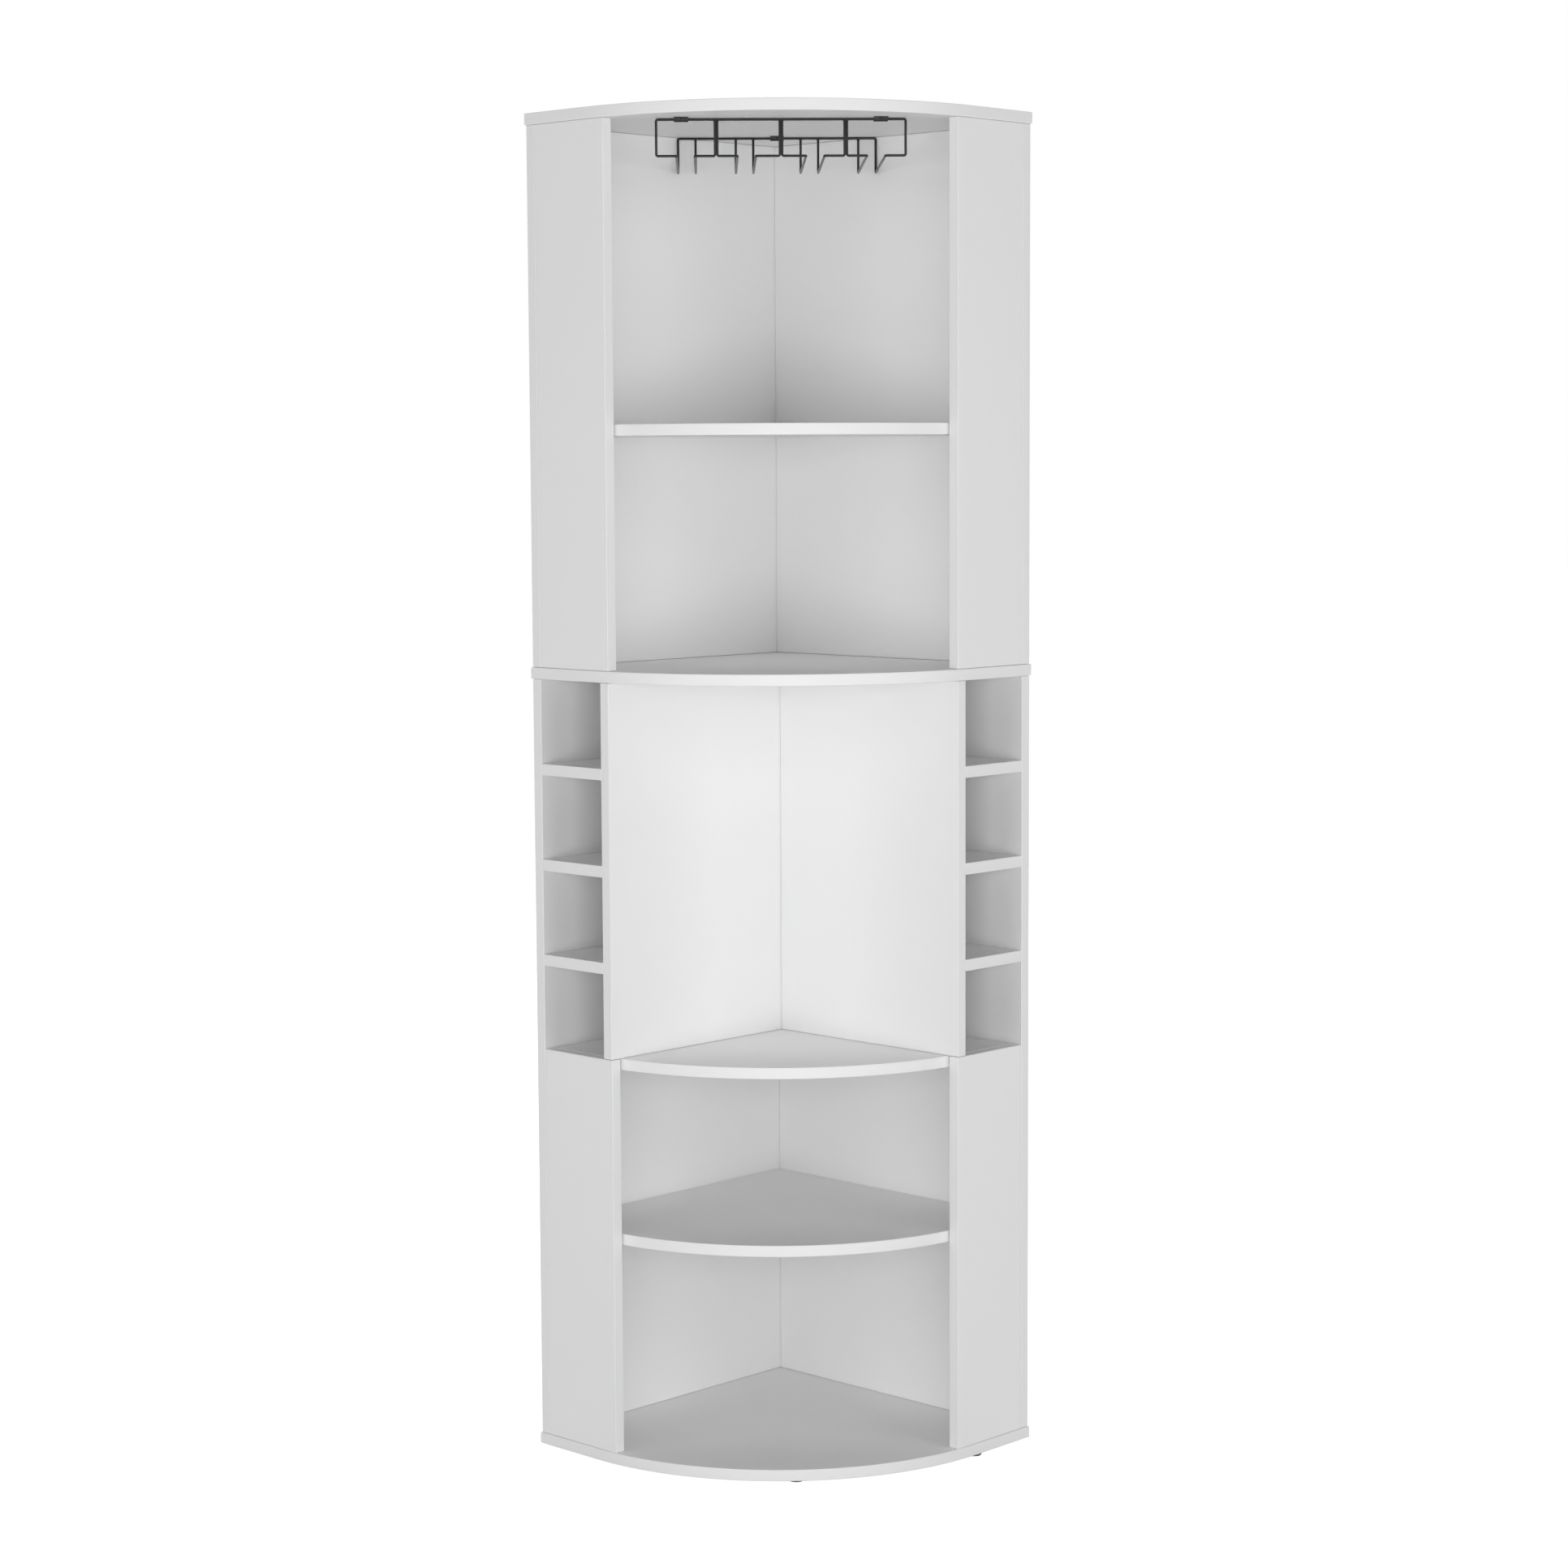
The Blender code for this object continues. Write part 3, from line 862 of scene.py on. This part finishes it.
# %% [markdown]
# ## Clips and their screws
#
# Three black strips hold the rack up. Each lies flat against the top board, dips round the wire and
# ends behind it, and one pan-head screw goes through its flat part.
#
# A block with a groove would do, but a strip of sheet is as thick in its bend as in its flat. So
# the strip's path is drawn once: the flat part, then half a turn that spins the last vertex round
# the wire. It is extruded to its width, given its thickness and its edges softened.

# %% Make the clips
CLIP_WIDTH = 0.018
CLIP_REACH = 0.0180      # from the wire's middle to the flat part's end
CLIP_SHEET = 0.0012
CLIP_SPREAD = 0.125
CLIP_TURN_STEPS = 14
CLIP_SOFT = 0.0003
CLIP_CORNER = 0.0008
CLIP_CORNER_STEPS = 4
CLIP_HOLE = 0.0036


def screw_reach():
    """From the wire's middle forward to a clip's screw."""
    return (WIRE / 2 + GAP + CLIP_SHEET + CLIP_REACH) / 2


def clip(across, back):
    radius = WIRE / 2 + GAP + CLIP_SHEET / 2
    top = WIRE / 2 - CLIP_SHEET / 2
    left = across - CLIP_WIDTH / 2
    path = [(left, back - CLIP_REACH, top), (left, back - radius, top), (left, back - radius, 0)]
    item = outline([Vector(point) for point in path])
    bpy.ops.mesh.spin(steps=CLIP_TURN_STEPS, angle=-math.pi, center=(left, back, 0), axis=(1, 0, 0))
    weld()
    choose(item, "vert", lambda vert: vert.co.z > top - TINY and vert.co.y > back - radius - TINY)
    bpy.ops.mesh.bevel(offset=CLIP_CORNER, segments=CLIP_CORNER_STEPS, affect="VERTICES")
    bpy.ops.mesh.select_all(action="SELECT")
    bpy.ops.mesh.extrude_region_move(TRANSFORM_OT_translate={"value": (CLIP_WIDTH, 0, 0)})
    bpy.ops.mesh.select_all(action="SELECT")
    bpy.ops.mesh.normals_make_consistent(inside=False)
    close(item)
    sheet = item.modifiers.new("sheet", "SOLIDIFY")
    sheet.thickness = CLIP_SHEET
    sheet.offset = 0
    sheet.use_even_offset = True
    apply_modifiers(item)
    deselect()
    bpy.ops.mesh.primitive_cylinder_add(vertices=ROUND_STEPS, radius=CLIP_HOLE / 2,
                                        depth=CLIP_REACH,
                                        location=(across, back - screw_reach(), top))
    carve(item, settle(bpy.context.active_object))
    round_edges(item, CLIP_SOFT)
    item.data.materials.clear()
    item.data.materials.append(BLACK_COAT)
    item.matrix_world = RACK_SEAT
    return smooth(settle(item))


CLIPS = {}
for number, (across, back) in enumerate(((-CLIP_SPREAD, 0), (CLIP_SPREAD, 0), (0, RACK_DEPTH)), 1):
    CLIPS[f"rack_clip_{number}"] = clip(across, back)
print("clips:", len(CLIPS))

# %% Make the clips' screws
CLIP_SCREW_HEAD = 0.0056
CLIP_SCREW_RISE = 0.0016
CLIP_SCREW_SHANK = 0.003
CROSS_LENGTH = 0.0032
CROSS_WIDTH = 0.0008
CROSS_CUTTER = CLIP_SCREW_RISE * 1.5     # half of it cuts into the head
DOME_STEPS = 6


def clip_screw(node):
    low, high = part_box(node)
    length = high.z - low.z
    shank = CLIP_SCREW_SHANK / 2
    head = CLIP_SCREW_HEAD / 2
    dome = []
    for step in range(DOME_STEPS + 1):
        turn = math.pi / 2 * step / DOME_STEPS
        dome.append((head * math.sin(turn), CLIP_SCREW_RISE * (1 - math.cos(turn))))
    profile = dome + [(shank, CLIP_SCREW_RISE), (shank, length - shank), (0, length)]
    place = Vector(((low.x + high.x) / 2, (low.y + high.y) / 2, low.z))
    seat = seat_at(place, Vector((0, 0, 1)))
    item = turned(profile, seat, BLACK_COAT)
    for turn in (0, math.pi / 2):
        deselect()
        bpy.ops.mesh.primitive_cube_add(size=1, location=place, rotation=(0, 0, turn),
                                        scale=(CROSS_LENGTH, CROSS_WIDTH, CROSS_CUTTER))
        carve(item, settle(bpy.context.active_object))
    return smooth(item)


for number in (1, 2, 3):
    CLIPS[f"rack_clip_screw_{number}"] = clip_screw(f"rack_clip_screw_{number}")
print("clips and their screws:", len(CLIPS))

# %% [markdown]
# ## Feet
#
# Four nail-on glides lift the base board off the floor. Each is a dull plastic disc with a rounded
# lower rim and a shallow dish in its underside, moulded round a nail. It is round all over, so it
# is spun as the screws are, with the quarter circle of its rim worked out point by point.

# %% Turn the feet
FOOT_ROUND = 0.0014
FOOT_DISH = 0.0006
FOOT_DISH_SHARE = 0.45
FOOT_NAIL = 0.0025
FOOT_SIDES = 48


def foot(node):
    low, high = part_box(node)
    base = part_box("base_board")[0].z - GAP
    radius = (high.x - low.x) / 2
    dish = radius * FOOT_DISH_SHARE
    nail = FOOT_NAIL / 2
    rim = [(radius - FOOT_ROUND * (1 - math.sin(turn)), FOOT_ROUND * (1 - math.cos(turn)))
           for turn in (math.pi / 2 * step / DOME_STEPS for step in range(DOME_STEPS + 1))]
    profile = [(0, FOOT_DISH), (dish - FOOT_DISH, FOOT_DISH), (dish, 0)] + rim
    profile += [(radius, base - FOOT_DISH), (radius - FOOT_DISH, base), (nail, base),
                (nail, high.z - nail), (0, high.z)]
    place = Vector(((low.x + high.x) / 2, (low.y + high.y) / 2, low.z))
    seat = seat_at(place, Vector((0, 0, 1)))
    return smooth(turned(profile, seat, GLIDE_PLASTIC, FOOT_SIDES))


def nail_hole(node):
    low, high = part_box(node)
    deselect()
    bpy.ops.mesh.primitive_cylinder_add(
        vertices=ROUND_STEPS, radius=FOOT_NAIL / 2 + GAP, depth=(high.z + GAP) * 2,
        location=((low.x + high.x) / 2, (low.y + high.y) / 2, 0))
    carve(PANELS["base_board"], settle(bpy.context.active_object))


FEET = {}
for name in ("front", "right", "left", "corner"):
    FEET[f"{name}_foot"] = foot(f"{name}_foot")
    nail_hole(f"{name}_foot")
print("feet:", len(FEET))

# %% [markdown]
# ## Hand the pieces over
#
# Every piece is shown in place of its construction node and rides on the cabinet's one body. The
# panels get weighted normals first, which keep the broad faces flat beside the rounded arrises.

# %% Hand over
for item in PANELS.values():
    smooth(item)
    item.modifiers.new("flat", "WEIGHTED_NORMAL").keep_sharp = True
    apply_modifiers(item)
for group in (PANELS, FASTENERS, CLIPS, FEET, {"stemware_rack": RACK}):
    for node, item in group.items():
        stands_for(item, node)
print("pieces handed over:", sum(len(group) for group in (PANELS, FASTENERS, CLIPS, FEET)) + 1)

# %% [markdown]
# ## Camera
#
# The photograph was taken with a long lens from about four and a half metres, a little above the
# cabinet's middle and a hand's width to the left of the corner's diagonal. The places here were
# found by fitting the cabinet's edges to the photograph.

# %% Set up the camera
CAMERA_DISTANCE = 4.607  # from the room corner, along the diagonal
CAMERA_SHIFT = -0.0911   # to the right of the diagonal
CAMERA_HEIGHT = 1.2996
CAMERA_YAW = math.radians(1.252)
CAMERA_PITCH = math.radians(-5.590)
CAMERA_ROLL = math.radians(-0.295)
IMAGE_WIDTH = 1932
FOCAL_PIXELS = 4070
SENSOR = 36
FAR = 200                # past the floor's far edge


def add_camera():
    data = bpy.data.cameras.new("camera")
    data.sensor_width = SENSOR
    data.lens = FOCAL_PIXELS / IMAGE_WIDTH * SENSOR
    data.clip_end = FAR
    item = bpy.data.objects.new("camera", data)
    bpy.context.scene.collection.objects.link(item)
    turn = (Matrix.Rotation(math.pi / 4 - CAMERA_YAW, 4, "Z")
            @ Matrix.Rotation(math.pi / 2 + CAMERA_PITCH, 4, "X")
            @ Matrix.Rotation(CAMERA_ROLL, 4, "Z"))
    item.matrix_world = Matrix.Translation(
        on_diagonal(CAMERA_DISTANCE, CAMERA_SHIFT, CAMERA_HEIGHT)) @ turn
    bpy.context.scene.camera = item
    return item


camera = add_camera()
print("lens:", round(camera.data.lens, 2), "mm")

# %% [markdown]
# ## Floor, sky and light
#
# The studio is white all round. The sky is a soft grey light for the cabinet, and plain white for
# the camera. The floor is lifted to white for the camera too, but keeps a part of its own shading,
# so the cabinet's shadow stays on it. From below, the floor is clear, so that the feet and the
# underside can be looked at. Every lamp is a big soft box: three light the front, a low one in the
# middle and one at each side, two light the backs, and one hangs over the top.

# %% Light the sky
SKY_LIGHT = 0.08


def white_to_camera(nodes, plain, lifted):
    """Mixes two shaders, so that the camera and mirror rays see the lifted one."""
    straight, mirrored, through = (nodes.node("ShaderNodeLightPath", output=f"Is {ray} Ray")
                                   for ray in ("Camera", "Glossy", "Transmission"))
    seen = (straight + mirrored + through).clamped(0.0, 1.0)
    return nodes.node("ShaderNodeMixShader", {}, {0: seen, 1: plain, 2: lifted})


def set_sky():
    world = bpy.data.worlds.new("studio")
    bpy.context.scene.world = world
    world.use_nodes = True
    sky = Nodes(world.node_tree)
    soft, white = (sky.node("ShaderNodeBackground", {}, {"Color": (1, 1, 1, 1),
                                                         "Strength": strength})
                   for strength in (SKY_LIGHT, 1.0))
    surface = sky.tree.nodes["World Output"].inputs["Surface"]
    sky.put(surface, white_to_camera(sky, soft, white))
    return world


studio = set_sky()
print("sky:", studio.name, "light:", SKY_LIGHT)

# %% Lay the floor
FLOOR_SIZE = 60
FLOOR_COLOUR = (0.60, 0.60, 0.60)
FLOOR_LIFT = 0.93
FLOOR_ROUGHNESS = 0.9
FLOOR_SHEEN = 0.1


def add_floor():
    bpy.ops.mesh.primitive_plane_add(size=FLOOR_SIZE)
    floor = bpy.context.active_object
    floor.name = "floor"
    paint = Finish("floor_paint")
    paint.shade(base_color=FLOOR_COLOUR, roughness=FLOOR_ROUGHNESS,
                specular_ior_level=FLOOR_SHEEN)
    plain = Signal(paint, paint.shader.outputs[0])
    lift = paint.node("ShaderNodeEmission", {}, {"Strength": FLOOR_LIFT})
    lifted = paint.node("ShaderNodeAddShader", {}, {0: plain, 1: lift})
    seen = white_to_camera(paint, plain, lifted)
    clear = paint.node("ShaderNodeBsdfTransparent")
    from_below = paint.node("ShaderNodeNewGeometry", output="Backfacing")
    paint.put(paint.tree.nodes["Material Output"].inputs["Surface"],
              paint.node("ShaderNodeMixShader", {}, {0: from_below, 1: seen, 2: clear}))
    paint.material.cycles.emission_sampling = "NONE"     # the lift is seen, and lights nothing
    floor.data.materials.append(paint.material)
    return floor


floor = add_floor()
print("floor:", floor.name, FLOOR_SIZE, "m")


# %% Hang the lamps
def add_lamp(name, place, target, size, power):
    data = bpy.data.lights.new(name, "AREA")
    data.shape = "RECTANGLE"
    data.size, data.size_y = size
    data.energy = power
    item = bpy.data.objects.new(name, data)
    bpy.context.scene.collection.objects.link(item)
    item.location = place
    item.rotation_euler = (target - place).to_track_quat("-Z", "Y").to_euler()


CABINET_MIDDLE = Vector((0, 0, 0.9))
LAMPS = (
    ("front_lamp", on_diagonal(4.7, 0.0, 0.85), (2.6, 1.8), 77),
    ("left_lamp", on_diagonal(3.4, -3.4, 1.6), (3.2, 3.0), 55),
    ("right_lamp", on_diagonal(3.4, 3.4, 1.6), (3.2, 3.0), 61),
    ("back_left_lamp", on_diagonal(-3.4, -3.4, 1.8), (3.0, 3.0), 78),
    ("back_right_lamp", on_diagonal(-3.4, 3.4, 1.8), (3.0, 3.0), 78),
    ("top_lamp", on_diagonal(-0.8, 0.0, 4.5), (3.0, 3.0), 50))
for name, place, size, power in LAMPS:
    add_lamp(name, place, CABINET_MIDDLE, size, power)
bpy.context.scene.view_settings.view_transform = "Standard"
print("lamps:", len(LAMPS), "together:", sum(lamp[3] for lamp in LAMPS), "W")
